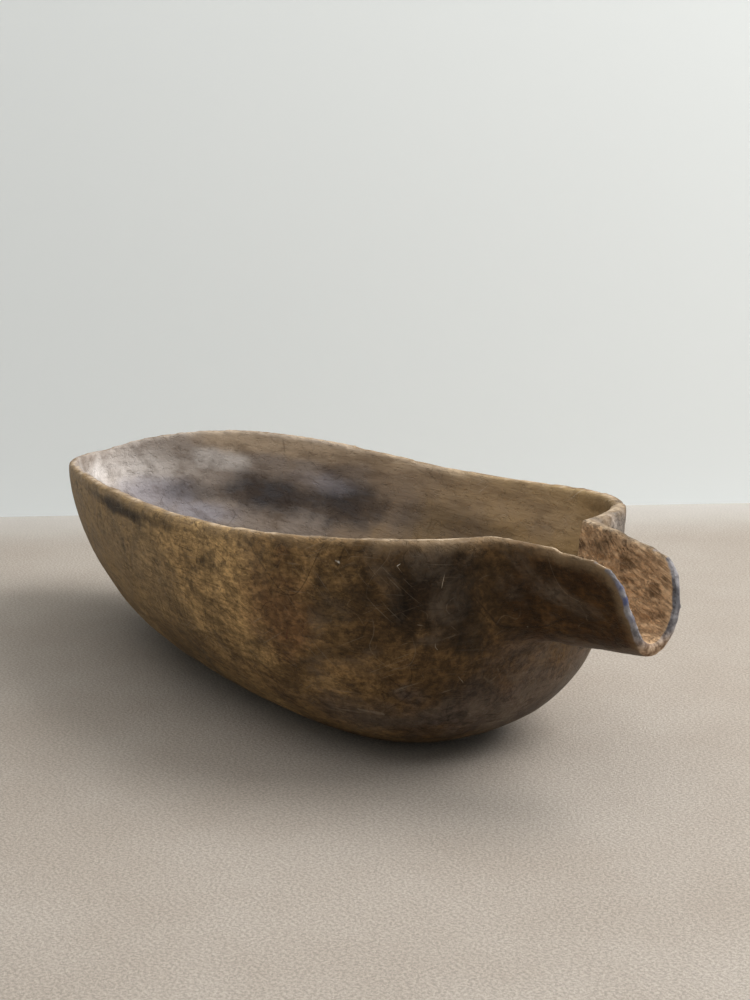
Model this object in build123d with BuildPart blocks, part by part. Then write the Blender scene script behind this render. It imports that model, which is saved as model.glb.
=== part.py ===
"""Hand-carved wooden feed scoop: one block of wood, hollowed out, with an open pouring spout.

Millimetres, +Z up, +X towards the spout. Left is +Y and right is -Y, as seen by someone
who looks along the spout. The origin is on the ground under the middle of the whole length.
"""
import os

from build123d import *

# ---------------------------------------------------------------- overall sizes
bowl_length = 349.0
bowl_width = 165.0
spout_length = 53.0

# ---------------------------------------------------------------- heights of the wavy rim
# Each side has five heights, evenly spaced from the back end to the neck of the spout. The
# two sides differ because the top was cut by eye: the right side dips more at the back.
right_rim_back = 67.0
right_rim_rear = 85.0
right_rim_middle = 89.0
right_rim_front = 92.5
right_rim_neck = 98.5
right_rim_tip = 94.0

left_rim_back = 90.0
left_rim_rear = 92.5
left_rim_middle = 88.0
left_rim_front = 91.5
left_rim_neck = 97.5
left_rim_tip = 94.0

# ---------------------------------------------------------------- bowl outline, seen from above
# A fullness is how far a curve keeps its direction before it turns: 0 is a straight cut across
# the corner, and 1 is almost square.
widest_from_back = 226.0
back_end_fullness = 0.436
rear_flank_fullness = 0.54
front_flank_fullness = 0.748
front_shoulder_fullness = 0.727

# ---------------------------------------------------------------- foot, and the swell of the walls
foot_length = 156.0
foot_from_back = 124.0
foot_width = 50.0
back_swell = 2.04
front_swell = 2.24
side_swell = 1.9

# ---------------------------------------------------------------- thickness of the wood
bowl_wall = 6.0
bowl_floor = 9.0
spout_wall = 5.0
spout_floor = 5.0

# ---------------------------------------------------------------- spout
neck_half_width = 22.5
neck_length = 10.5
# how far the spout's root spreads under each flank, as a share of the bowl's half width
right_root_spread = 0.72
left_root_spread = 0.42
tip_half_width = 17.0
keel_at_neck = 56.0
keel_at_tip = 62.0
keel_roundness = 0.62
spout_root_reach = 34.0
channel_root_reach = 60.0
spout_side_fullness = 0.5
nose_fullness = 0.35
nose_bulge = 2.0
tip_setback = 8.5
keel_setback = 2.0

# ---------------------------------------------------------------- blends
neck_blend = 5.0
tip_corner_radius = 7.0
back_corner_radius = 9.0

# ---------------------------------------------------------------- places worked out from the sizes
overall_length = bowl_length + spout_length
back_end = -overall_length / 2
spout_end = overall_length / 2
bowl_front = back_end + bowl_length
foot_back = back_end + foot_from_back
foot_front = foot_back + foot_length
rim_at_back = (right_rim_back + left_rim_back) / 2
rim_at_middle = (right_rim_middle + left_rim_middle) / 2
rim_at_neck = (right_rim_neck + left_rim_neck) / 2
rim_at_tip = (right_rim_tip + left_rim_tip) / 2
right_rim = (right_rim_back, right_rim_rear, right_rim_middle, right_rim_front, right_rim_neck)
left_rim = (left_rim_back, left_rim_rear, left_rim_middle, left_rim_front, left_rim_neck)

# the raw shapes run past the finished wood by this much, and the cuts trim them
spare = 12.0
block_height = max(right_rim + left_rim) + spare

# shares of the height at which the bowl is outlined, closer together near the foot, where the
# wall turns fastest
outline_shares = (0, 0.012, 0.045, 0.1, 0.18, 0.29, 0.43, 0.6, 0.78, 1)


def between(start, end, share):
    """The value that lies at a share of the way from start to end."""
    return start + (end - start) * share


def swell(height, rim_height, roundness):
    """Share of the way out from the foot to the rim that a wall has reached at a height."""
    rise = min(max(height / rim_height, 0), 1)
    return (1 - (1 - rise) ** roundness) ** (1 / roundness)


def bowl_outline(height, back, front, half_width):
    """A level egg-shaped outline: four curves that meet at its ends and its widest points."""
    widest = between(back, front, widest_from_back / bowl_length)
    rear_handle = between(widest, back, rear_flank_fullness)
    front_handle = between(widest, front, front_flank_fullness)
    tail = half_width * back_end_fullness
    shoulder = half_width * front_shoulder_fullness
    with BuildSketch(Plane.XY.offset(height)) as outline:
        with BuildLine():
            Bezier((back, 0), (back, tail), (rear_handle, half_width), (widest, half_width))
            Bezier((widest, half_width), (front_handle, half_width), (front, shoulder), (front, 0))
            Bezier((front, 0), (front, -shoulder), (front_handle, -half_width), (widest, -half_width))
            Bezier((widest, -half_width), (rear_handle, -half_width), (back, -tail), (back, 0))
        make_face()
    return outline.sketch


def bowl_outlines(wall, floor):
    """Outlines of the bowl from its floor up, drawn in by a wall and lifted by a floor."""
    outlines = []
    for share in outline_shares:
        rise = (block_height - floor) * share
        back_share = swell(rise, rim_at_back - floor, back_swell)
        front_share = swell(rise, rim_at_neck - floor, front_swell)
        side_share = swell(rise, rim_at_middle - floor, side_swell)
        back = between(foot_back, back_end, back_share) + wall
        front = between(foot_front, bowl_front, front_share) - wall
        half_width = between(foot_width, bowl_width, side_share) / 2 - wall
        outlines.append(bowl_outline(floor + rise, back, front, half_width))
    return outlines


def spout_section(station, right, left, keel, shoulder):
    """An upright section across the spout: a rounded keel between two leaning walls."""
    lean = shoulder - spout_side_fullness * (shoulder - keel)
    with BuildSketch(Plane.YZ.offset(station)) as section:
        with BuildLine():
            Line((-right, block_height), (-right, shoulder))
            Bezier((-right, shoulder), (-right, lean), (-right * keel_roundness, keel), (0, keel))
            Bezier((0, keel), (left * keel_roundness, keel), (left, lean), (left, shoulder))
            Polyline((left, shoulder), (left, block_height), (-right, block_height))
        make_face()
    return section.sketch


def spout_sections(wall, floor, reach_in):
    """Three sections of the spout: inside the bowl, just past the neck, and past the tip."""
    keel_slope = (keel_at_tip - keel_at_neck) / spout_length
    taper = (neck_half_width - tip_half_width) / spout_length
    root_keel = keel_at_neck - keel_slope * reach_in + floor
    root_right = bowl_width / 2 * right_root_spread - wall
    root_left = bowl_width / 2 * left_root_spread - wall
    neck = neck_half_width - wall
    end_keel = keel_at_tip + keel_slope * spare + floor
    end = tip_half_width - taper * spare - wall
    return [
        spout_section(bowl_front - reach_in, root_right, root_left, root_keel, rim_at_neck),
        spout_section(bowl_front + neck_length, neck, neck, keel_at_neck + floor, rim_at_neck),
        spout_section(spout_end + spare, end, end, end_keel, rim_at_tip),
    ]


def side_view(offset, rim_heights, tip_height):
    """The scoop's upright silhouette on one side: wavy rim, rounded nose and square base."""
    step = bowl_length / (len(rim_heights) - 1)
    rim_points = [(back_end + step * place, height) for place, height in enumerate(rim_heights)]
    corner = (spout_end - tip_setback, tip_height)
    keel_end = (spout_end - keel_setback, keel_at_tip - nose_bulge)
    with BuildSketch(Plane.XZ.offset(offset)) as silhouette:
        with BuildLine():
            rim = Spline(*rim_points, corner)
            Bezier(
                corner,
                (spout_end - nose_bulge, tip_height - tip_corner_radius),
                (spout_end + nose_bulge, between(keel_at_tip, tip_height, nose_fullness)),
                keel_end,
            )
            Polyline(keel_end, (keel_end[0], -spare), (back_end, -spare), rim @ 0)
        make_face()
        fillet(silhouette.vertices().sort_by_distance(corner)[0], tip_corner_radius)
        fillet(silhouette.vertices().sort_by_distance(rim @ 0)[0], back_corner_radius)
    return silhouette.sketch


with BuildPart() as bowl_outside:
    for outline in bowl_outlines(0, 0):
        add(outline)
    loft()

with BuildPart() as spout_outside:
    for section in spout_sections(0, 0, spout_root_reach):
        add(section)
    loft()

with BuildPart() as bowl_hollow:
    for outline in bowl_outlines(bowl_wall, bowl_floor):
        add(outline)
    loft()

with BuildPart() as spout_channel:
    for section in spout_sections(spout_wall, spout_floor, channel_root_reach):
        add(section)
    loft()

with BuildPart() as silhouette_block:
    # the plane's own direction is -Y, so a positive offset is the right side
    add(side_view(bowl_width / 2, right_rim, right_rim_tip))
    add(side_view(-bowl_width / 2, left_rim, left_rim_tip))
    loft(ruled=True)

with BuildPart() as scoop_body:
    # the outside: a swelling bowl, with the spout grown out of its front
    add(bowl_outside.part)
    add(spout_outside.part)
    fillet(scoop_body.edges(Select.NEW), neck_blend)
    # the side view cuts the wavy rim and the rounded nose of the spout
    add(silhouette_block.part, mode=Mode.INTERSECT)
    # the inside: the hollow of the bowl and the open channel that pours from it
    add(bowl_hollow.part, mode=Mode.SUBTRACT)
    add(spout_channel.part, mode=Mode.SUBTRACT)

scoop_body.part.label = "scoop_body"
os.makedirs("parts", exist_ok=True)
export_step(scoop_body.part, "parts/scoop_body.step")
print("volume", round(scoop_body.part.volume), "mm3 in", len(scoop_body.part.solids()), "solid")
print(scoop_body.part.bounding_box())
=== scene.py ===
# %% [markdown]
# A hand-carved feed scoop
#
# The object is one block of wood that somebody hollowed out with an adze and a knife. It has an
# egg-shaped bowl, a wavy rim and an open spout. The CAD model gives its size and its true shape.
# This lesson turns that shape into old wood: softened edges, knife cuts, stains and scratches.

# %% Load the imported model
import math

import bmesh
import bpy
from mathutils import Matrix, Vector, kdtree, noise


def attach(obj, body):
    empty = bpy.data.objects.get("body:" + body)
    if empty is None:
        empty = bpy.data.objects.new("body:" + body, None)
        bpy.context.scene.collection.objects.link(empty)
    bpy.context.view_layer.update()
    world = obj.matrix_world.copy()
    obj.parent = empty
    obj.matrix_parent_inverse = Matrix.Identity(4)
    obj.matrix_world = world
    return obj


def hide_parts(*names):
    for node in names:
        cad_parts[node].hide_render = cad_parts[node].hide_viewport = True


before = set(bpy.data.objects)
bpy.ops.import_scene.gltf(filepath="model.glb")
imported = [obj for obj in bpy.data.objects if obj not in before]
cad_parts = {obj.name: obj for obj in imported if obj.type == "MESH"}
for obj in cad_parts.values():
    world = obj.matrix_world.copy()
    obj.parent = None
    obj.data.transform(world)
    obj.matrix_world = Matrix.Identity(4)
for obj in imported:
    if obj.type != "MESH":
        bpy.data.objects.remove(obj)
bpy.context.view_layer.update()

# %% [markdown]
# Camera
#
# The camera stands to the right of the spout and a little above the rim, with a long lens, so the
# bowl keeps its real proportions. A turn, a tilt and a distance are easier to read than a
# position, so the camera is aimed with those three numbers.

# %% Place the camera
aim = Vector((0.038, -0.0003, 0.0903))
camera_turn = math.radians(53.07)
camera_tilt = math.radians(12.04)
camera_distance = 0.7166
film_width = 36
focal_share = 1.7

camera_data = bpy.data.cameras.new("camera")
camera_data.sensor_width = film_width
camera_data.lens = film_width * focal_share
camera_data.clip_start = 0.01
camera = bpy.data.objects.new("camera", camera_data)
toward_camera = Vector((
    math.sin(camera_turn) * math.cos(camera_tilt),
    -math.cos(camera_turn) * math.cos(camera_tilt),
    math.sin(camera_tilt),
))
camera.location = aim + toward_camera * camera_distance
camera.rotation_euler = toward_camera.to_track_quat("Z", "Y").to_euler()
bpy.context.scene.collection.objects.link(camera)
bpy.context.scene.camera = camera
print("camera at", [round(value, 3) for value in camera.location])

# directions seen from the camera, along the ground
picture_right = Vector((math.cos(camera_turn), math.sin(camera_turn), 0))
picture_away = Vector((-math.sin(camera_turn), math.cos(camera_turn), 0))

# %% [markdown]
# The carved body, step 1: an even skin
#
# The CAD mesh is made of long thin triangles, which cannot be dented or worn. A voxel remesh
# rebuilds the same surface from small even squares, and a few rounds of smoothing soften every
# edge as years of handling do. Sculpting by hand would give the same thing, but a remesh keeps
# the CAD size and gives the same result each time.

# %% Copy, remesh and soften the CAD body
same_point = 1e-6
skin_square = 0.0018
edge_softening = 7


def finish_modifiers(piece):
    """Writes a piece's modifiers into its mesh."""
    view = bpy.context.evaluated_depsgraph_get()
    finished = bpy.data.meshes.new_from_object(piece.evaluated_get(view))
    piece.modifiers.clear()
    piece.data = finished


work = bmesh.new()
work.from_mesh(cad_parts["scoop_body"].data)
bmesh.ops.remove_doubles(work, verts=work.verts, dist=same_point)
mesh = bpy.data.meshes.new("carved_scoop")
work.to_mesh(mesh)
work.free()
scoop = bpy.data.objects.new("carved_scoop", mesh)
bpy.context.scene.collection.objects.link(scoop)

remesh = scoop.modifiers.new("even_skin", "REMESH")
remesh.mode = "VOXEL"
remesh.voxel_size = skin_square
soften = scoop.modifiers.new("handled_edges", "SMOOTH")
soften.factor = 0.5
soften.iterations = edge_softening
finish_modifiers(scoop)
print("even skin of", len(scoop.data.polygons), "faces")

# %% [markdown]
# The carved body, step 2: which side is which
#
# The outside was rubbed dark by hands, the hollow is stained by feed, and the spout was cut
# again with a knife. To treat them apart, each point needs to know where it is. A point is
# inside when its surface looks towards the middle line of the hollow, and near the rim when it
# is close to the points that look neither in nor out.

# %% Measure where each point lies
hollow_line_back = -0.150
hollow_line_front = 0.185
hollow_line_height = 0.088
crest_tilt = 0.3


def facing_hollow(place, direction):
    """From -1, looking out of the wood, to 1, looking towards the middle of the hollow."""
    along = min(max(place.x, hollow_line_back), hollow_line_front)
    to_middle = Vector((along, 0, hollow_line_height)) - place
    return direction.dot(to_middle.normalized())


def crest_tree(work):
    """Finds points on the rim and the end cuts, for measuring how near they are."""
    crest = [v.co.copy() for v in work.verts if abs(facing_hollow(v.co, v.normal)) < crest_tilt]
    tree = kdtree.KDTree(len(crest))
    for index, place in enumerate(crest):
        tree.insert(place, index)
    tree.balance()
    return tree


work = bmesh.new()
work.from_mesh(scoop.data)
work.normal_update()
crest = crest_tree(work)
print("crest found, and the tip is at x =", round(max(v.co.x for v in work.verts), 3))

# %% [markdown]
# The carved body, step 3: the neck
#
# On the real scoop the flank of the bowl flows into the spout without a corner. Smoothing only
# the points around the neck, many times over, melts the seam into a wide hollow curve. The rim
# is left out, because smoothing thins an edge.

# %% Melt the neck into the bowl
neck_from, neck_to = 0.112, 0.160
neck_half_width = 0.062
neck_floor = 0.035
outer_side = -0.2
rim_kept = 0.007
neck_rounds = 45
neck_softness = 0.5


def melt(verts, rounds, softness):
    """Smooths the given points many times over."""
    for _ in range(rounds):
        bmesh.ops.smooth_vert(
            work, verts=verts, factor=softness, use_axis_x=True, use_axis_y=True, use_axis_z=True)


neck = [
    v for v in work.verts
    if neck_from < v.co.x < neck_to
    and abs(v.co.y) < neck_half_width
    and v.co.z > neck_floor
    and facing_hollow(v.co, v.normal) < outer_side
    and crest.find(v.co)[2] > rim_kept
]
melt(neck, neck_rounds, neck_softness)
print("neck smoothed at", len(neck), "points")

# %% [markdown]
# The carved body, step 4: finer squares where the knife worked
#
# Knife cuts are one to three millimetres wide, so the spout needs smaller squares than the rest.
# Cutting each edge there once gives four times the detail only where it is seen.

# %% Refine the spout
spout_from = 0.128
spout_half_width = 0.034
spout_floor = 0.05
lip_from = 0.150
lip_width = 0.004
lip_rounds = 10
lip_softness = 0.4


def on_spout(place):
    """True for a place on the spout."""
    return place.x > spout_from and abs(place.y) < spout_half_width and place.z > spout_floor


fine_edges = [e for e in work.edges if all(on_spout(v.co) for v in e.verts)]
bmesh.ops.subdivide_edges(work, edges=fine_edges, cuts=1, use_grid_fill=True)
lip = [v for v in work.verts if v.co.x > lip_from and crest.find(v.co)[2] < lip_width]
melt(lip, lip_rounds, lip_softness)
work.normal_update()
print("refined to", len(work.verts), "points, and", len(lip), "smoothed round the lip")

# %% [markdown]
# The carved body, step 5: tool marks
#
# Nothing cut by hand is even. Slow noise makes the flanks swell and dip by half a millimetre,
# scallops show the strokes of the knife, and small bites break the rim. The spout has deep
# narrow gouges along it. All are moved along the surface's own direction, so they stay crisp.

# %% Measure one knife cut
def smooth_step(low, high, value):
    """0 below low, 1 above high, and an even slope between."""
    share = min(max((value - low) / (high - low), 0), 1)
    return share * share * (3 - 2 * share)


def scallop(place, stretch):
    """Shallow overlapping cuts: 0 in the middle of a cut, up to 1 at the ridge between two."""
    point = Vector((place.x * stretch[0], place.y * stretch[1], place.z * stretch[2]))
    nearest, second = noise.voronoi(point)[0][:2]
    return 1 - min(second - nearest, 1)


print("one cut, measured at the origin:", round(scallop(Vector(), (1, 1, 1)), 2))

# %% Carve the surface
mouth = (0.130, 0.146)
rim_fade = (0.001, 0.010)
turn_inward = (-0.2, 0.2)
flank_swell = 0.0008
swells_per_metre = 16
swell_at_rim = 0.15
scallop_depth = 0.00045
scallops_per_metre = (30, 70, 70)
scallop_start = Vector((0.3, 0.1, 0.2))
scallop_middle = 0.5
scallops_in_spout = 0.5
gouge_depth = 0.0010
gouges_per_metre = (38, 360, 360)
gouge_middle = 0.6
rim_bite = 0.0004
bites_per_metre = 60
bite_level = 0.25


def carve(place, direction):
    """How far a point moves along its surface direction, in metres."""
    inward = smooth_step(*turn_inward, facing_hollow(place, direction))
    off_edge = smooth_step(*rim_fade, crest.find(place)[2])
    in_spout = smooth_step(*mouth, place.x)
    swell = noise.noise(place * swells_per_metre)
    move = flank_swell * swell * (swell_at_rim + (1 - swell_at_rim) * off_edge)
    knife = scallop(place + scallop_start, scallops_per_metre)
    move += scallop_depth * (knife - scallop_middle) * off_edge * (1 - scallops_in_spout * in_spout)
    gouge = scallop(place, gouges_per_metre)
    move += gouge_depth * (gouge - gouge_middle) * inward * in_spout * off_edge
    bite = max(noise.noise(place * bites_per_metre) - bite_level, 0)
    return move - rim_bite * bite * (1 - off_edge)


shifts = [(v, v.normal * carve(v.co, v.normal)) for v in work.verts]
for v, shift in shifts:
    v.co += shift
    v.co.z = max(v.co.z, 0)
work.normal_update()
print("largest move", round(1000 * max(shift.length for _, shift in shifts), 2), "mm")

# %% Store what the materials need
crest = crest_tree(work)
inside = []
edge_distance = []
for v in work.verts:
    inside.append(facing_hollow(v.co, v.normal))
    edge_distance.append(crest.find(v.co)[2])
mesh = bpy.data.meshes.new("carved_scoop")
work.to_mesh(mesh)
work.free()
scoop.data = mesh
for name, values in (("facing_hollow", inside), ("edge_distance", edge_distance)):
    attribute = mesh.attributes.new(name, "FLOAT", "POINT")
    attribute.data.foreach_set("value", values)
mesh.shade_smooth()
print("body has", sum(len(face.vertices) - 2 for face in mesh.polygons), "triangles")

# %% [markdown]
# How the finishes are built
#
# Every colour here is worked out from a point's place on the scoop, in metres, so nothing is
# painted by hand and a mark can be moved by changing its place. Effects that are used again and
# again, such as a ragged stain, a knife stroke or a swirl of hairline scratches, are node groups.

# %% Small helpers for node trees
def add_node(tree, kind, inputs=(), **settings):
    """Adds a node. An input is given as a value or as a socket to link from."""
    node = tree.nodes.new(kind)
    for name, value in settings.items():
        setattr(node, name, value)
    for name, value in dict(inputs).items():
        if isinstance(value, bpy.types.NodeSocket):
            tree.links.new(value, node.inputs[name])
        else:
            node.inputs[name].default_value = value
    return node


def calculate(tree, operation, *values):
    """One sum on numbers."""
    return add_node(tree, "ShaderNodeMath", enumerate(values), operation=operation).outputs[0]


def ease(tree, value, low, high):
    """0 where the value is below low and 1 where it is above high."""
    inputs = {"Value": value, "From Min": low, "From Max": high}
    return add_node(tree, "ShaderNodeMapRange", inputs, interpolation_type="SMOOTHSTEP").outputs[0]


def ease_down(tree, value, low, high):
    """1 where the value is below low and 0 where it is above high."""
    return calculate(tree, "SUBTRACT", 1, ease(tree, value, low, high))


def vector_sum(tree, operation, first, second, output=0):
    """One sum on two places or directions."""
    node = add_node(tree, "ShaderNodeVectorMath", {0: first, 1: second}, operation=operation)
    return node.outputs[output]


def scaled_vector(tree, vector, factor):
    """A direction or a colour times a number."""
    inputs = {0: vector, "Scale": factor}
    return add_node(tree, "ShaderNodeVectorMath", inputs, operation="SCALE").outputs[0]


def blend(tree, share, first, second, mode="MIX"):
    """Two colours mixed by a share."""
    inputs = {0: share, 6: first, 7: second}
    return add_node(tree, "ShaderNodeMix", inputs, data_type="RGBA", blend_type=mode).outputs[2]


def cloud(tree, place, scale, detail=3, roughness=0.55):
    """Soft noise, mostly between 0.3 and 0.7."""
    inputs = {"Vector": place, "Scale": scale, "Detail": detail, "Roughness": roughness}
    return add_node(tree, "ShaderNodeTexNoise", inputs).outputs["Fac"]


def stretched(tree, place, stretch):
    """The place squeezed along each axis, which stretches a pattern the other way."""
    return vector_sum(tree, "MULTIPLY", place, stretch)


def turned(tree, place, turn):
    """The place turned about the middle, which turns a pattern the other way."""
    return add_node(tree, "ShaderNodeMapping", {"Vector": place, "Rotation": turn}).outputs[0]


def multiply_value(tree, colour, value, low, high):
    """Darkens or lightens a colour: a value from 0 to 1 gives a factor from low to high."""
    factor = calculate(tree, "MULTIPLY_ADD", value, high - low, low)
    return scaled_vector(tree, colour, factor)


def shade(red, green, blue):
    """A colour for a node's input."""
    return (red, green, blue, 1)


def new_group(name, inputs, outputs):
    """An empty node group with named inputs and outputs."""
    group = bpy.data.node_groups.new(name, "ShaderNodeTree")
    for label, (kind, value) in inputs.items():
        socket = group.interface.new_socket(label, in_out="INPUT", socket_type="NodeSocket" + kind)
        if value is not None:
            socket.default_value = value
    for label, kind in outputs.items():
        group.interface.new_socket(label, in_out="OUTPUT", socket_type="NodeSocket" + kind)
    return group, group.nodes.new("NodeGroupInput").outputs, group.nodes.new("NodeGroupOutput")


# %% [markdown]
# Wood grain
#
# The scoop was cut from half a log, so its grain runs along it and the yearly rings lie round a
# line under it. Rings are the distance from that line, bent by noise. Fibres are noise stretched
# twenty times along the grain.

# %% Group: long grain
grain, grain_in, grain_out = new_group(
    "long_grain",
    {"Position": ("Vector", None)},
    {"Rings": "Float", "Fibres": "Float"},
)
log_centre = (0, 0.02, -0.11)
ring_width = 0.0035
ring_wander = 0.03
fibres_per_metre = 900
from_centre = vector_sum(grain, "SUBTRACT", grain_in["Position"], log_centre)
across = stretched(grain, from_centre, (0.12, 1, 1))
distance = add_node(grain, "ShaderNodeVectorMath", {0: across}, operation="LENGTH").outputs["Value"]
wobble = calculate(grain, "MULTIPLY", cloud(grain, grain_in["Position"], scale=14, detail=2), ring_wander)
ring = calculate(grain, "DIVIDE", calculate(grain, "ADD", distance, wobble), ring_width)
ring_inputs = {"W": ring, "Scale": 1, "Detail": 3}
ring_noise = add_node(grain, "ShaderNodeTexNoise", ring_inputs, noise_dimensions="1D")
grain.links.new(ring_noise.outputs["Fac"], grain_out.inputs["Rings"])
fibre_place = stretched(grain, grain_in["Position"], (0.05, 1, 1))
grain.links.new(cloud(grain, fibre_place, scale=fibres_per_metre, detail=3), grain_out.inputs["Fibres"])
print("grain group has", len(grain.nodes), "nodes")

# %% [markdown]
# Ragged patches
#
# Stains, blooms and rubbed places all have a middle, a reach and a torn edge. The group measures
# the distance from the middle in units of the reach and lets noise tear the edge.

# %% Group: ragged patch
patch, patch_in, patch_out = new_group(
    "ragged_patch",
    {
        "Position": ("Vector", None),
        "Centre": ("Vector", (0, 0, 0)),
        "Reach": ("Vector", (0.02, 0.02, 0.02)),
        "Tear": ("Float", 0.8),
        "Tear scale": ("Float", 60),
    },
    {"Mask": "Float"},
)
offset = vector_sum(patch, "SUBTRACT", patch_in["Position"], patch_in["Centre"])
scaled = vector_sum(patch, "DIVIDE", offset, patch_in["Reach"])
far = add_node(patch, "ShaderNodeVectorMath", {0: scaled}, operation="LENGTH").outputs["Value"]
tear_noise = cloud(patch, patch_in["Position"], scale=patch_in["Tear scale"], detail=5, roughness=0.6)
tear = calculate(patch, "SUBTRACT", tear_noise, 0.5)
torn = calculate(patch, "MULTIPLY_ADD", tear, calculate(patch, "MULTIPLY", patch_in["Tear"], 3), far)
patch.links.new(ease_down(patch, torn, 0.35, 1.30), patch_out.inputs["Mask"])
print("patch group has", len(patch.nodes), "nodes")

# %% [markdown]
# Strokes
#
# A scratch that stands by itself runs from one place to another. The group measures how far a
# point is from that line, and breaks the line up a little so it does not look ruled.

# %% Group: single stroke
stroke, stroke_in, stroke_out = new_group(
    "single_stroke",
    {
        "Position": ("Vector", None),
        "Start": ("Vector", (0, 0, 0)),
        "End": ("Vector", (0, 0, 0)),
        "Width": ("Float", 0.0005),
    },
    {"Mask": "Float"},
)


sway_size = 0.0012
run = vector_sum(stroke, "SUBTRACT", stroke_in["End"], stroke_in["Start"])
wavy_inputs = {"Vector": stroke_in["Position"], "Scale": 120, "Detail": 2}
wavy = add_node(stroke, "ShaderNodeTexNoise", wavy_inputs).outputs["Color"]
sway = stretched(stroke, vector_sum(stroke, "SUBTRACT", wavy, (0.5,) * 3), (sway_size,) * 3)
swayed = vector_sum(stroke, "ADD", stroke_in["Position"], sway)
reached = vector_sum(stroke, "SUBTRACT", swayed, stroke_in["Start"])
along = calculate(
    stroke, "DIVIDE",
    vector_sum(stroke, "DOT_PRODUCT", reached, run, "Value"),
    vector_sum(stroke, "DOT_PRODUCT", run, run, "Value"),
)
share = add_node(stroke, "ShaderNodeClamp", {"Value": along}).outputs[0]
aside = vector_sum(stroke, "DISTANCE", reached, scaled_vector(stroke, run, share), "Value")
uneven = cloud(stroke, stroke_in["Position"], scale=300, detail=2)
thickness = calculate(stroke, "MULTIPLY", stroke_in["Width"], uneven)
faded_at = calculate(stroke, "MULTIPLY", thickness, 2)
stroke.links.new(ease_down(stroke, aside, thickness, faded_at), stroke_out.inputs["Mask"])
print("stroke group has", len(stroke.nodes), "nodes")

# %% [markdown]
# Hairlines
#
# A thing that is stacked, scraped and wiped for years is covered with fine curved scratches. The
# level lines of a soft noise are long thin curves that never repeat, so a narrow band around one
# level gives hairlines, and a second noise rubs parts of them away.

# %% Group: hairlines
hair, hair_in, hair_out = new_group(
    "hairlines",
    {
        "Position": ("Vector", None),
        "Scale": ("Float", 30),
        "Width": ("Float", 0.012),
        "Amount": ("Float", 0.5),
    },
    {"Mask": "Float"},
)
soft_noise = cloud(hair, hair_in["Position"], scale=hair_in["Scale"], detail=1)
level = calculate(hair, "ABSOLUTE", calculate(hair, "SUBTRACT", soft_noise, 0.5))
line = ease_down(hair, level, 0, hair_in["Width"])
worn = cloud(hair, hair_in["Position"], scale=calculate(hair, "MULTIPLY", hair_in["Scale"], 2.3), detail=3)
least = calculate(hair, "SUBTRACT", 1, hair_in["Amount"])
kept = ease(hair, worn, least, calculate(hair, "ADD", least, 0.1))
hair.links.new(calculate(hair, "MULTIPLY", line, kept), hair_out.inputs["Mask"])
print("hairline group has", len(hair.nodes), "nodes")

# %% [markdown]
# Scrapes
#
# Straight scrapes all lean one way where something was dragged past. Noise squeezed thirty times
# more upright than along gives thin lines, and only its highest peaks are kept. A slower noise
# gathers them in places, as real scrapes are.

# %% Group: scrapes
scrape, scrape_in, scrape_out = new_group(
    "scrapes",
    {"Position": ("Vector", None), "Lean": ("Vector", (0, 0, 0)), "Amount": ("Float", 0.4)},
    {"Mask": "Float"},
)
leaning = turned(scrape, scrape_in["Position"], scrape_in["Lean"])
peaks = cloud(scrape, stretched(scrape, leaning, (45, 45, 1500)), scale=1, detail=2)
lowest = calculate(scrape, "SUBTRACT", 0.85, calculate(scrape, "MULTIPLY", scrape_in["Amount"], 0.4))
lines = ease(scrape, peaks, lowest, calculate(scrape, "ADD", lowest, 0.06))
gathered = ease(scrape, cloud(scrape, leaning, scale=30, detail=3), 0.46, 0.60)
scrape.links.new(calculate(scrape, "MULTIPLY", lines, gathered), scrape_out.inputs["Mask"])
print("scrape group has", len(scrape.nodes), "nodes")

# %% [markdown]
# One material for the whole scoop
#
# Inside and outside are the same wood, so they share one material. It first reads what every
# colour needs: the place in metres, the two stored attributes and the grain.

# %% Read the place
patina = bpy.data.materials.new("hand_rubbed_wood")
patina.use_nodes = True
tree = patina.node_tree
principled = tree.nodes["Principled BSDF"]
position = add_node(tree, "ShaderNodeTexCoord").outputs["Object"]
facing = add_node(tree, "ShaderNodeAttribute", attribute_name="facing_hollow").outputs["Fac"]
from_edge = add_node(tree, "ShaderNodeAttribute", attribute_name="edge_distance").outputs["Fac"]
lengthwise, _, height = add_node(tree, "ShaderNodeSeparateXYZ", {0: position}).outputs
wood_grain = add_node(tree, "ShaderNodeGroup", {"Position": position}, node_tree=grain)
rings, fibres = wood_grain.outputs
print("material started with", len(tree.nodes), "nodes")

# %% [markdown]
# Ways to lay one colour over another
#
# Each effect is a mask from a node group and a colour that shows through it. A list then says
# where each stain or scratch lies, how strong it is and what colour it has, and one short
# function lays the whole list. Painting a texture would be quicker, but it couldn't be changed.

# %% Lay patches, strokes, hairlines and scrapes
def ramp(tree, value, stops):
    """Colours along a value: a list of (value from 0 to 1, colour)."""
    node = add_node(tree, "ShaderNodeValToRGB", {0: value})
    node.color_ramp.interpolation = "EASE"
    elements = node.color_ramp.elements
    while len(elements) < len(stops):
        elements.new(1)
    for element, (at, colour) in zip(elements, stops):
        element.position = at
        element.color = colour
    return node.outputs[0]


def lay(tree, colour, group, inputs, strength, new_colour):
    """Lays a colour over another through one effect's mask."""
    inputs = {"Position": position, **inputs}
    mask = add_node(tree, "ShaderNodeGroup", inputs, node_tree=group).outputs[0]
    return blend(tree, calculate(tree, "MULTIPLY", mask, strength), colour, new_colour)


def lay_patches(tree, colour, patches, tear=0.8, tear_scale=60):
    """Lays ragged patches over a colour: (centre, reach, strength, patch colour)."""
    for centre, reach, strength, patch_colour in patches:
        inputs = {"Centre": centre, "Reach": reach, "Tear": tear, "Tear scale": tear_scale}
        colour = lay(tree, colour, patch, inputs, strength, patch_colour)
    return colour


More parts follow.
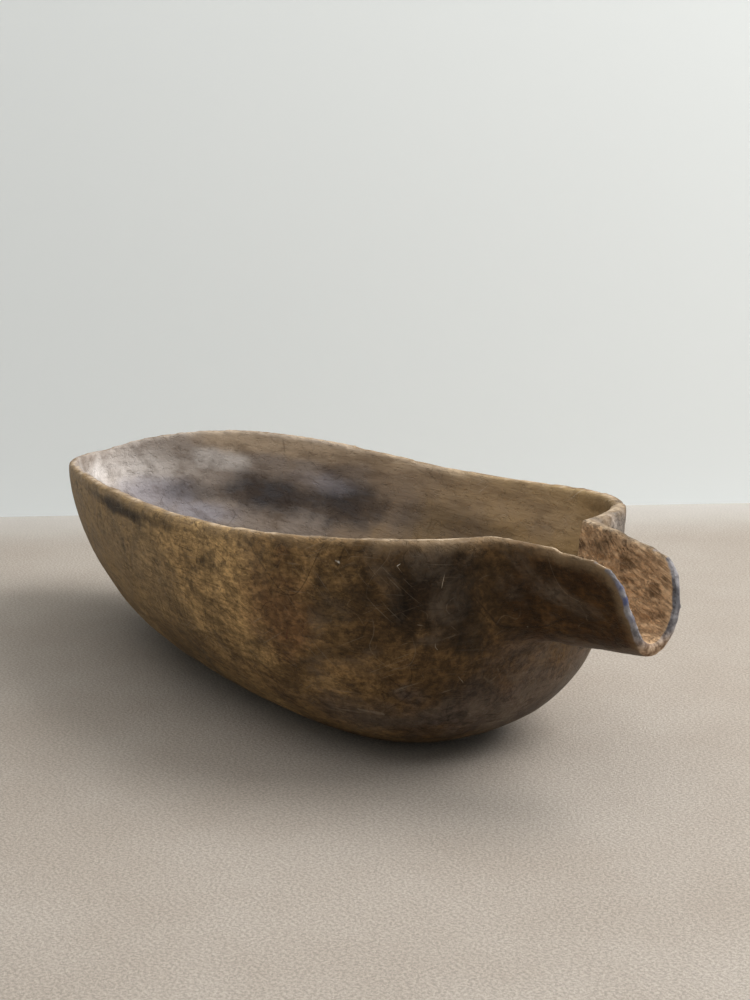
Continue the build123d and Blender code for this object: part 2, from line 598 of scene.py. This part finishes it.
def lay_strokes(tree, colour, strokes):
    """Lays single strokes over a colour: (start, end, width, strength, stroke colour)."""
    for start, end, width, strength, stroke_colour in strokes:
        inputs = {"Start": start, "End": end, "Width": width}
        colour = lay(tree, colour, stroke, inputs, strength, stroke_colour)
    return colour


def lay_hairlines(tree, colour, layers):
    """Lays hairlines over a colour: (scale, width, amount, strength, line colour)."""
    for scale, width, amount, strength, line_colour in layers:
        inputs = {"Scale": scale, "Width": width, "Amount": amount}
        colour = lay(tree, colour, hair, inputs, strength, line_colour)
    return colour


def lay_scrapes(tree, colour, layers):
    """Lays straight scrapes over a colour: (lean, amount, strength, scrape colour)."""
    for lean, amount, strength, scrape_colour in layers:
        colour = lay(tree, colour, scrape, {"Lean": lean, "Amount": amount}, strength, scrape_colour)
    return colour


def share_of_length(tree, shift):
    """0 at the back end and 1 at the tip, for a lengthwise place in metres."""
    inputs = {"Value": shift, "From Min": -half_length, "From Max": half_length}
    return add_node(tree, "ShaderNodeMapRange", inputs).outputs[0]


half_length = 0.2
print("ready to lay colours along", 2 * half_length, "m")

# %% [markdown]
# The outside
#
# The back half is olive brown where it was rubbed and dried. Towards the spout the wood turns
# mid brown and then nearly black, as if it was held there with greasy hands. The steps are soft
# and torn, so each colour's place along the scoop is first shifted by noise.

# %% Outside colours
drift_reach = 0.16
drift_noise = cloud(tree, position, scale=22, detail=5, roughness=0.6)
drift = calculate(tree, "MULTIPLY", calculate(tree, "SUBTRACT", drift_noise, 0.5), drift_reach)
along_scoop = share_of_length(tree, calculate(tree, "ADD", lengthwise, drift))
charcoal = shade(0.032, 0.019, 0.009)
tar = shade(0.014, 0.008, 0.004)
painted_sheen_grey = shade(0.090, 0.074, 0.068)
deep_brown = shade(0.075, 0.042, 0.018)
olive_light = shade(0.270, 0.190, 0.105)
rust = shade(0.110, 0.040, 0.020)
outside = ramp(tree, along_scoop, [
    (0.00, shade(0.265, 0.170, 0.074)),
    (0.45, shade(0.320, 0.212, 0.100)),
    (0.62, shade(0.430, 0.272, 0.116)),
    (0.73, shade(0.236, 0.141, 0.058)),
    (0.80, shade(0.105, 0.060, 0.024)),
    (0.96, shade(0.046, 0.020, 0.006)),
])
outside = lay_patches(tree, outside, [
    ((-0.140, -0.050, 0.050), (0.050, 0.030, 0.022), 0.35, olive_light),
    ((-0.040, -0.075, 0.060), (0.050, 0.020, 0.014), 0.40, olive_light),
    ((0.020, -0.060, 0.025), (0.110, 0.030, 0.016), 0.55, deep_brown),
    ((0.075, -0.076, 0.062), (0.020, 0.020, 0.024), 0.45, rust),
    ((0.116, -0.062, 0.066), (0.022, 0.040, 0.022), 0.40, charcoal),
    ((0.136, -0.045, 0.078), (0.018, 0.022, 0.022), 0.92, tar),
    # The three grey patches low on the front are a painted sheen: a reflection of the sky painted into the
    # colour.
    ((0.130, 0.000, 0.025), (0.040, 0.060, 0.020), 0.55, painted_sheen_grey),
    ((0.100, -0.045, 0.022), (0.035, 0.030, 0.014), 0.45, painted_sheen_grey),
    ((0.150, -0.012, 0.050), (0.016, 0.018, 0.010), 0.45, painted_sheen_grey),
    ((0.172, -0.018, 0.076), (0.030, 0.016, 0.014), 0.75, shade(0.066, 0.032, 0.010)),
    # The pale grey patch on the far shoulder is a painted highlight where the light falls.
    ((0.142, 0.040, 0.092), (0.022, 0.022, 0.020), 0.65, shade(0.360, 0.320, 0.290)),
    ((0.196, -0.018, 0.068), (0.005, 0.006, 0.012), 0.85, tar),
    ((-0.055, -0.078, 0.0825), (0.036, 0.020, 0.0035), 0.90, tar),
    ((-0.005, -0.081, 0.0840), (0.022, 0.020, 0.0025), 0.55, tar),
])
print("outside colours use", len(tree.nodes), "nodes")

# %% [markdown]
# Dirt on the outside
#
# Handling leaves the colour cloudy: darker and lighter swirls, stronger at the front, which is
# handled most, and a smoky grey over the dark wood. Dirt sits in the pores, most of all under
# the rim where a hand never wipes.

# %% Swirls, fine dirt and smoke
smoke_strength = 0.55
smoke_grey = shade(0.185, 0.142, 0.104)
painted_contact_shade = 0.45
swirl_inputs = {"Vector": position, "Scale": 34, "Detail": 8, "Roughness": 0.68, "Distortion": 1.6}
swirls = add_node(tree, "ShaderNodeTexNoise", swirl_inputs).outputs["Fac"]
fine_dirt = cloud(tree, stretched(tree, position, (0.6, 1, 1)), scale=420, detail=5, roughness=0.75)
sharpness = calculate(tree, "MULTIPLY_ADD", ease(tree, lengthwise, -0.08, 0.05), 0.65, 0.35)
for pattern, low, high, darkest, lightest in (
    (swirls, 0.34, 0.66, 0.55, 1.45),
    (fine_dirt, 0.38, 0.62, 0.62, 1.34),
):
    tone = calculate(tree, "SUBTRACT", ease(tree, pattern, low, high), 0.5)
    tone = calculate(tree, "MULTIPLY_ADD", tone, sharpness, 0.5)
    outside = multiply_value(tree, outside, tone, darkest, lightest)
smoke_inputs = {"Vector": position, "Scale": 26, "Detail": 9, "Roughness": 0.62, "Distortion": 0.8}
smoke = ease(tree, add_node(tree, "ShaderNodeTexNoise", smoke_inputs).outputs["Fac"], 0.50, 0.68)
in_dark = ease(tree, lengthwise, 0.02, 0.11)
smoke_share = calculate(tree, "MULTIPLY", calculate(tree, "MULTIPLY", smoke, in_dark), smoke_strength)
outside = blend(tree, smoke_share, outside, smoke_grey)
# The outside is painted darker towards the floor: painted shade where the bowl meets the floor.
clear_of_contact_shade = ease(tree, height, 0.001, 0.016)
outside = multiply_value(tree, outside, clear_of_contact_shade, painted_contact_shade, 1.0)
print("swirls and smoke reach", len(tree.nodes), "nodes")

# %% Specks, fibres and rings
fibre_strength = 0.26
ring_strength = 0.15
under_rim = ease(tree, height, 0.035, 0.085)
speck_place = stretched(tree, position, (0.7, 1, 1))
specks = ease(tree, cloud(tree, speck_place, scale=330, detail=4, roughness=0.7), 0.52, 0.66)
speck_share = calculate(tree, "MULTIPLY", specks, calculate(tree, "MULTIPLY_ADD", under_rim, 0.32, 0.14))
fibre_share = calculate(tree, "MULTIPLY", ease(tree, fibres, 0.45, 0.70), fibre_strength)
ring_share = calculate(tree, "MULTIPLY", ease(tree, rings, 0.45, 0.65), ring_strength)
outside = blend(tree, speck_share, outside, charcoal)
outside = blend(tree, fibre_share, outside, deep_brown)
outside = blend(tree, ring_share, outside, charcoal)
print("specks and grain reach", len(tree.nodes), "nodes")

# %% [markdown]
# Scratches on the outside
#
# There are many faint scratches and a few that stand by themselves. The faint ones are noise and
# stop short of the spout, which is smooth. The others are placed one by one.

# %% Outside scratches
pale_line = shade(0.340, 0.275, 0.205)
outside = lay_hairlines(tree, outside, [
    (13, 0.0022, 0.62, 0.60, tar),
    (17, 0.0020, 0.58, 0.22, pale_line),
    (40, 0.0070, 0.55, 0.45, tar),
    (52, 0.0060, 0.50, 0.16, pale_line),
])
unscraped = outside
outside = lay_scrapes(tree, outside, [
    ((0.0, 0.5, 0.0), 0.52, 0.30, pale_line),
    ((0.2, -0.9, 0.0), 0.52, 0.26, pale_line),
    ((0.1, 0.1, 0.0), 0.52, 0.28, pale_line),
    ((0.0, 0.0, 0.3), 0.58, 0.50, tar),
    ((0.1, 1.2, 0.0), 0.58, 0.50, tar),
    ((0.0, -0.4, 0.2), 0.58, 0.50, tar),
])
outside = blend(tree, ease(tree, lengthwise, 0.128, 0.146), outside, unscraped)
fleck = shade(0.750, 0.700, 0.620)
outside = lay_strokes(tree, outside, [
    ((0.122, -0.062, 0.0912), (0.130, -0.055, 0.0900), 0.00020, 0.90, pale_line),
    ((0.1325, -0.053, 0.0945), (0.128, -0.058, 0.0885), 0.00019, 0.80, fleck),
    ((0.128, -0.058, 0.0885), (0.130, -0.056, 0.0850), 0.00019, 0.85, pale_line),
    ((0.127, -0.058, 0.0860), (0.1265, -0.058, 0.0800), 0.00016, 0.70, pale_line),
    ((0.139, -0.044, 0.089), (0.135, -0.046, 0.071), 0.00018, 0.75, pale_line),
    ((0.135, -0.046, 0.071), (0.133, -0.044, 0.057), 0.00018, 0.70, pale_line),
    ((0.133, -0.044, 0.057), (0.133, -0.030, 0.040), 0.00017, 0.60, pale_line),
    ((0.125, -0.052, 0.054), (0.131, -0.043, 0.051), 0.00016, 0.60, pale_line),
    ((0.131, -0.051, 0.066), (0.140, -0.033, 0.065), 0.00020, 0.50, pale_line),
    ((0.101, -0.065, 0.049), (0.108, -0.062, 0.050), 0.00022, 0.55, pale_line),
    ((0.120, -0.033, 0.024), (0.124, -0.032, 0.028), 0.00018, 0.75, pale_line),
    ((0.136, -0.002, 0.038), (0.138, 0.005, 0.042), 0.00030, 0.60, pale_line),
    ((0.098, -0.053, 0.025), (0.106, -0.048, 0.0245), 0.0012, 0.40, pale_line),
    ((0.1075, -0.070, 0.0885), (0.1088, -0.0696, 0.0880), 0.0008, 1.00, fleck),
    ((0.1070, -0.070, 0.0830), (0.1080, -0.070, 0.0829), 0.0006, 0.95, fleck),
    ((0.1510, -0.017, 0.0640), (0.1518, -0.0162, 0.0640), 0.0005, 0.90, fleck),
    ((0.075, -0.078, 0.076), (0.090, -0.075, 0.074), 0.0006, 0.80, tar),
    ((0.080, -0.077, 0.073), (0.084, -0.074, 0.065), 0.0005, 0.65, rust),
    ((0.084, -0.074, 0.065), (0.078, -0.073, 0.052), 0.0005, 0.65, rust),
    ((0.086, -0.073, 0.060), (0.076, -0.074, 0.062), 0.0004, 0.55, rust),
])
print("outside scratches reach", len(tree.nodes), "nodes")

# %% [markdown]
# The inside
#
# Feed and damp have bleached the back of the hollow to a pale bloom and left a blue-black stain
# below it. Towards the spout the bare wood shows, warm and streaked along the grain.

# %% Inside colours
streak_place = stretched(tree, position, (0.16, 1, 1))
streaks = cloud(tree, streak_place, scale=130, detail=4, roughness=0.6)
inside_along = share_of_length(tree, calculate(tree, "MULTIPLY_ADD", drift, 1.8, lengthwise))
inside = ramp(tree, inside_along, [
    (0.00, shade(0.380, 0.325, 0.285)),
    (0.22, shade(0.330, 0.275, 0.235)),
    (0.40, shade(0.290, 0.220, 0.160)),
    (0.62, shade(0.390, 0.268, 0.136)),
    (0.90, shade(0.165, 0.110, 0.054)),
])
bloom = shade(0.860, 0.815, 0.785)
blue_black = shade(0.056, 0.055, 0.062)
lilac = shade(0.400, 0.380, 0.420)
warm_tan = shade(0.600, 0.460, 0.320)
inside = lay_patches(tree, inside, [
    ((-0.100, 0.000, 0.026), (0.080, 0.060, 0.016), 0.55, blue_black),
    ((-0.183, 0.010, 0.068), (0.026, 0.026, 0.012), 0.60, bloom),
    ((-0.152, 0.040, 0.075), (0.020, 0.018, 0.006), 0.60, bloom),
    ((-0.170, -0.028, 0.062), (0.034, 0.026, 0.014), 0.70, bloom),
    ((-0.178, 0.016, 0.056), (0.026, 0.020, 0.010), 0.80, lilac),
    ((-0.163, 0.029, 0.057), (0.022, 0.016, 0.0065), 0.52, blue_black),
    ((-0.155, 0.029, 0.047), (0.026, 0.018, 0.0060), 0.85, lilac),
    ((-0.116, 0.050, 0.060), (0.038, 0.018, 0.011), 0.90, blue_black),
    ((-0.070, 0.063, 0.064), (0.034, 0.018, 0.013), 0.90, blue_black),
    ((-0.086, 0.060, 0.070), (0.026, 0.016, 0.006), 0.45, lilac),
    ((0.000, 0.070, 0.062), (0.060, 0.020, 0.012), 0.45, blue_black),
    ((-0.110, 0.060, 0.085), (0.100, 0.040, 0.006), 0.75, warm_tan),
    ((0.030, 0.074, 0.080), (0.090, 0.020, 0.012), 0.35, warm_tan),
    ((0.000, 0.000, 0.012), (0.110, 0.060, 0.012), 0.50, charcoal),
], 0.6, 34)
streak_share = calculate(tree, "MULTIPLY", ease(tree, streaks, 0.44, 0.66), 0.40)
inner_ring_share = calculate(tree, "MULTIPLY", ease(tree, rings, 0.48, 0.62), 0.07)
inside = blend(tree, streak_share, inside, deep_brown)
inside = blend(tree, inner_ring_share, inside, charcoal)
inside = lay_hairlines(tree, inside, [(34, 0.006, 0.50, 0.30, tar)])
inside = lay_scrapes(tree, inside, [
    ((0, 0.6, 0), 0.40, 0.20, bloom),
    ((0, 0.2, 0), 0.50, 0.30, charcoal),
])
print("inside colours reach", len(tree.nodes), "nodes")

# %% [markdown]
# The spout's channel
#
# The channel was opened with a knife, across the grain near the neck and along it towards the
# tip. The fresh cuts are golden, and each stroke's edge holds dirt. Two small knots show.

# %% Knife cuts in the channel
leaning_cut = turned(tree, position, (0, -0.75, 0))
level_cut = turned(tree, position, (0, -0.35, 0))
long_cuts = cloud(tree, stretched(tree, level_cut, (0.07, 1, 1)), scale=760, detail=4, roughness=0.75)
slant_cuts = cloud(tree, stretched(tree, leaning_cut, (0.09, 1, 1)), scale=700, detail=4, roughness=0.75)
near_neck = ease_down(tree, lengthwise, 0.155, 0.180)
cuts = add_node(tree, "ShaderNodeMix", {0: near_neck, 2: long_cuts, 3: slant_cuts}).outputs[0]
cut_dirt = ease(tree, cuts, 0.48, 0.60)
cut_light = ease_down(tree, cuts, 0.34, 0.44)
soiled = ease(tree, cloud(tree, position, scale=80, detail=5, roughness=0.65), 0.42, 0.64)
print("knife cuts reach", len(tree.nodes), "nodes")

# %% Channel colours
brown_cut = shade(0.360, 0.215, 0.115)
golden_cut = shade(0.620, 0.430, 0.265)
fresh_cut = shade(0.780, 0.600, 0.400)
channel = blend(tree, cloud(tree, streak_place, scale=240, detail=3), brown_cut, golden_cut)
channel = multiply_value(tree, channel, ease(tree, fine_dirt, 0.35, 0.65), 0.74, 1.30)
channel = blend(tree, calculate(tree, "MULTIPLY", cut_light, 0.35), channel, fresh_cut)
dirt_share = calculate(tree, "MULTIPLY", cut_dirt, calculate(tree, "MULTIPLY_ADD", soiled, 0.45, 0.10))
channel = blend(tree, dirt_share, channel, deep_brown)
soil_in_cuts = calculate(tree, "MULTIPLY_ADD", cut_dirt, 0.6, 0.3)
soil_near_neck = calculate(tree, "MULTIPLY", soiled, near_neck)
channel = blend(tree, calculate(tree, "MULTIPLY", soil_in_cuts, soil_near_neck), channel, tar)
channel = lay_patches(tree, channel, [
    ((0.172, 0.013, 0.088), (0.0060, 0.008, 0.0030), 0.60, deep_brown),
    ((0.188, 0.012, 0.081), (0.0034, 0.006, 0.0028), 0.55, deep_brown),
    ((0.194, 0.010, 0.074), (0.0045, 0.008, 0.0016), 0.50, deep_brown),
    ((0.155, 0.017, 0.090), (0.007, 0.010, 0.004), 0.45, tar),
], 1.0, 220)
in_channel = ease(tree, calculate(tree, "MULTIPLY_ADD", drift, 0.10, lengthwise), 0.134, 0.142)
inside = blend(tree, in_channel, inside, channel)
print("channel colours reach", len(tree.nodes), "nodes")

# %% [markdown]
# The tip's cut faces
#
# The end of the spout was sawn across the grain. The end grain has gone grey and keeps a little
# old blue paint.

# %% End cuts
normal = add_node(tree, "ShaderNodeNewGeometry").outputs["Normal"]
forward = add_node(tree, "ShaderNodeSeparateXYZ", {0: normal}).outputs[0]
facing_forward = ease(tree, forward, 0.22, 0.45)
end_cut = calculate(tree, "MULTIPLY", facing_forward, ease(tree, lengthwise, 0.180, 0.186))
grey_share = ease(tree, cloud(tree, position, scale=260, detail=4, roughness=0.65), 0.38, 0.62)
end_colour = blend(tree, grey_share, shade(0.115, 0.105, 0.110), shade(0.270, 0.255, 0.262))
blue_paint = shade(0.075, 0.090, 0.190)
slate = shade(0.085, 0.085, 0.095)
end_colour = lay_patches(tree, end_colour, [
    ((0.195, -0.014, 0.088), (0.003, 0.004, 0.0024), 0.40, blue_paint),
    ((0.197, -0.013, 0.083), (0.003, 0.004, 0.0020), 0.85, blue_paint),
    ((0.199, -0.011, 0.077), (0.003, 0.004, 0.0016), 0.25, blue_paint),
    ((0.198, 0.015, 0.080), (0.006, 0.006, 0.0100), 0.60, slate),
], 0.9, 200)
bare_wood = blend(tree, grey_share, shade(0.200, 0.115, 0.060), shade(0.560, 0.400, 0.270))
end_colour = blend(tree, ease_down(tree, height, 0.063, 0.071), end_colour, bare_wood)
print("end cuts reach", len(tree.nodes), "nodes")

# %% [markdown]
# The worn rim
#
# The rim is where hands and feed rub most. Its crest is worn to pale wood, and a tan band below
# it fades into the dirt, where the knife took off the corner.

# %% Rim colours
is_inside = ease(tree, facing, -0.1, 0.1)
is_outside = calculate(tree, "SUBTRACT", 1, is_inside)
patchy = cloud(tree, position, scale=70, detail=4)
gritty = cloud(tree, position, scale=380, detail=4, roughness=0.7)
edge_noise = calculate(tree, "MULTIPLY_ADD", calculate(tree, "SUBTRACT", gritty, 0.5), 0.004, from_edge)
band = calculate(tree, "MULTIPLY", ease_down(tree, edge_noise, 0.0015, 0.0065), is_outside)
band_share = calculate(tree, "MULTIPLY", band, ease(tree, patchy, 0.25, 0.65))
crest_share = ease_down(tree, edge_noise, 0.0, 0.0011)
dull_crest = shade(0.210, 0.145, 0.085)
pale_crest = shade(0.500, 0.385, 0.270)
crest_colour = blend(tree, ease(tree, patchy, 0.40, 0.60), dull_crest, pale_crest)
print("rim colours reach", len(tree.nodes), "nodes")

# %% Put the colours together
tan = shade(0.270, 0.185, 0.105)
colour = blend(tree, is_inside, outside, inside)
colour = blend(tree, calculate(tree, "MULTIPLY", band_share, 0.65), colour, tan)
colour = blend(tree, calculate(tree, "MULTIPLY", crest_share, 0.75), colour, crest_colour)
colour = blend(tree, end_cut, colour, end_colour)
tree.links.new(colour, principled.inputs["Base Color"])

# %% [markdown]
# Sheen and relief
#
# Rubbed wood shines a little and bare wood does not. The fibres, the specks and the dirt in the
# cuts are also tiny hollows, too small for the mesh, so they go into the bump.

# %% Roughness and bump
rubbed = calculate(tree, "MULTIPLY_ADD", swirls, 0.35, 0.36)
dry = calculate(tree, "MULTIPLY_ADD", cloud(tree, position, scale=60, detail=3), 0.20, 0.66)
roughness = add_node(tree, "ShaderNodeMix", {0: is_inside, 2: rubbed, 3: dry}).outputs[0]
tree.links.new(roughness, principled.inputs["Roughness"])
waxless_gloss = 0.13
principled.inputs["Specular IOR Level"].default_value = waxless_gloss
relief = calculate(tree, "MULTIPLY_ADD", fibres, 0.6, calculate(tree, "MULTIPLY", specks, -0.5))
relief = calculate(tree, "MULTIPLY_ADD", swirls, 1.2, relief)
channel_cuts = calculate(tree, "MULTIPLY", cut_dirt, in_channel)
channel_relief = calculate(tree, "MULTIPLY", channel_cuts, is_inside)
relief = calculate(tree, "SUBTRACT", relief, calculate(tree, "MULTIPLY", channel_relief, 1.2))
bump = add_node(tree, "ShaderNodeBump", {"Strength": 0.8, "Distance": 0.0007, "Height": relief})
tree.links.new(bump.outputs[0], principled.inputs["Normal"])
print("the finished material has", len(tree.nodes), "nodes")

# %% [markdown]
# The scoop takes its place
#
# The mesh gets the material, moves with the only body that there is, and stands for the CAD
# solid, which is then hidden.

# %% Give the scoop its finish
scoop.data.materials.append(patina)
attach(scoop, "root")
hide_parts("scoop_body")
print("the scoop has", len(scoop.data.materials), "material")

# %% [markdown]
# The room
#
# A pale floor and a pale wall stand in for a studio. The wall is seen only from its front, so a
# view from behind the scoop looks straight through it.

# %% Floor and wall
def plain_material(name, colour, roughness):
    """A matt finish of one colour."""
    material = bpy.data.materials.new(name)
    material.use_nodes = True
    shader = material.node_tree.nodes["Principled BSDF"]
    shader.inputs["Base Color"].default_value = (*colour, 1)
    shader.inputs["Roughness"].default_value = roughness
    return material


def sheet(name, corners, material):
    """One flat four-cornered face, seen from the side its corners run round."""
    work = bmesh.new()
    work.faces.new([work.verts.new(corner) for corner in corners])
    mesh = bpy.data.meshes.new(name)
    work.to_mesh(mesh)
    work.free()
    mesh.materials.append(material)
    piece = bpy.data.objects.new(name, mesh)
    bpy.context.scene.collection.objects.link(piece)
    return piece


floor_reach = 4.0
wall_back = 0.392
wall_turn = math.radians(5)
wall_height = 2.5
floor_finish = plain_material("pale_floor", (0.31, 0.27, 0.23), 0.8)
wall_finish = plain_material("pale_wall", (0.80, 0.84, 0.85), 0.9)
sheet("studio_floor", [
    (-floor_reach, -floor_reach, 0),
    (floor_reach, -floor_reach, 0),
    (floor_reach, floor_reach, 0),
    (-floor_reach, floor_reach, 0),
], floor_finish)
ground_aim = Vector((aim.x, aim.y, 0))
foot_of_wall = ground_aim + picture_away * wall_back
up = Vector((0, 0, wall_height))
wall_run = picture_right * math.cos(wall_turn) + picture_away * math.sin(wall_turn)
wall_left = foot_of_wall - wall_run * floor_reach
wall_right = foot_of_wall + wall_run * floor_reach
sheet("studio_wall", [wall_left, wall_right, wall_right + up, wall_left + up], wall_finish)
print("the wall stands", wall_back, "m behind the aim")

# %% [markdown]
# The floor's surface
#
# The floor is fine cement: grainy and faintly cloudy. It is painted paler towards the wall, as
# painted light where a real floor would curve up out of focus. The grain goes into the bump as
# well, so low light catches it.

# %% Floor grain
floor_tree = floor_finish.node_tree
floor_shader = floor_tree.nodes["Principled BSDF"]
floor_place = add_node(floor_tree, "ShaderNodeTexCoord").outputs["Object"]
floor_grain = cloud(floor_tree, floor_place, scale=900, detail=4, roughness=0.75)
floor_clouds = ease(floor_tree, cloud(floor_tree, floor_place, scale=9, detail=4, roughness=0.6), 0.3, 0.7)
darker_cement = shade(0.308, 0.264, 0.222)
paler_cement = shade(0.348, 0.306, 0.264)
floor_colour = blend(floor_tree, floor_clouds, darker_cement, paler_cement)
grain_tone = ease(floor_tree, floor_grain, 0.38, 0.62)
floor_colour = multiply_value(floor_tree, floor_colour, grain_tone, 0.79, 1.21)
floor_bump = add_node(
    floor_tree, "ShaderNodeBump", {"Strength": 0.6, "Distance": 0.0008, "Height": floor_grain})
floor_tree.links.new(floor_bump.outputs[0], floor_shader.inputs["Normal"])
print("floor grain uses", len(floor_tree.nodes), "nodes")

# %% Painted light: the floor paler towards the wall
fade_width = 0.10
painted_cove_light_strength = 0.45
wall_away = wall_run.cross(Vector((0, 0, -1)))
past_wall_foot = vector_sum(floor_tree, "SUBTRACT", floor_place, foot_of_wall)
to_wall = vector_sum(floor_tree, "DOT_PRODUCT", past_wall_foot, wall_away, "Value")
painted_cove_light = ease(floor_tree, to_wall, -fade_width, 0.0)
painted_cove_light_share = calculate(floor_tree, "MULTIPLY", painted_cove_light, painted_cove_light_strength)
floor_colour = blend(floor_tree, painted_cove_light_share, floor_colour, shade(0.56, 0.55, 0.53))
floor_tree.links.new(floor_colour, floor_shader.inputs["Base Color"])
print("the floor fades over", fade_width, "m")

# %% [markdown]
# A wall that vanishes from behind
#
# Geometry's Backfacing is 1 on the back of a face. It mixes in a transparent shader there, so the
# wall hides nothing when the scoop is seen from its far side.

# %% Let the wall vanish from behind
wall_tree = wall_finish.node_tree
paint = wall_tree.nodes["Principled BSDF"].outputs[0]
clear = add_node(wall_tree, "ShaderNodeBsdfTransparent").outputs[0]
side = add_node(wall_tree, "ShaderNodeNewGeometry").outputs["Backfacing"]
choose = add_node(wall_tree, "ShaderNodeMixShader", {0: side, 1: paint, 2: clear})
wall_tree.links.new(choose.outputs[0], wall_tree.nodes["Material Output"].inputs["Surface"])
print("wall material has", len(wall_tree.nodes), "nodes")

# %% [markdown]
# Light
#
# A big window-like area light hangs to the right, level with the scoop, so the flank that faces
# the camera is in soft shade. A wide ceiling light and a weak sky fill the shadows from above,
# which leaves a dark line where the bowl meets the floor.

# %% Light the scoop
def area_light(name, offset, size, power, colour):
    """A square lamp that hangs at an offset from the aim and points at it."""
    data = bpy.data.lights.new(name, "AREA")
    data.size = size
    data.energy = power
    data.color = colour
    lamp = bpy.data.objects.new(name, data)
    lamp.location = aim + offset
    lamp.rotation_euler = offset.to_track_quat("Z", "Y").to_euler()
    bpy.context.scene.collection.objects.link(lamp)
    print(name, "hangs", round(offset.length, 2), "m from the aim")


overhead = Vector((0, 0, 1))
daylight = (1.0, 0.99, 0.97)
window_place = picture_right * 1.00 + picture_away * 0.12 + overhead * 1.15
ceiling_place = overhead * 1.7 - picture_away * 0.3
area_light("window", window_place, 1.1, 34, daylight)
area_light("ceiling", ceiling_place, 2.2, 18, daylight)

# %% Fill the room with a weak sky
sky_strength = 0.46
world = bpy.data.worlds.new("pale_room")
world.use_nodes = True
sky = world.node_tree.nodes["Background"]
sky.inputs["Color"].default_value = shade(0.86, 0.88, 0.87)
sky.inputs["Strength"].default_value = sky_strength
bpy.context.scene.world = world
bpy.context.scene.view_settings.view_transform = "Standard"
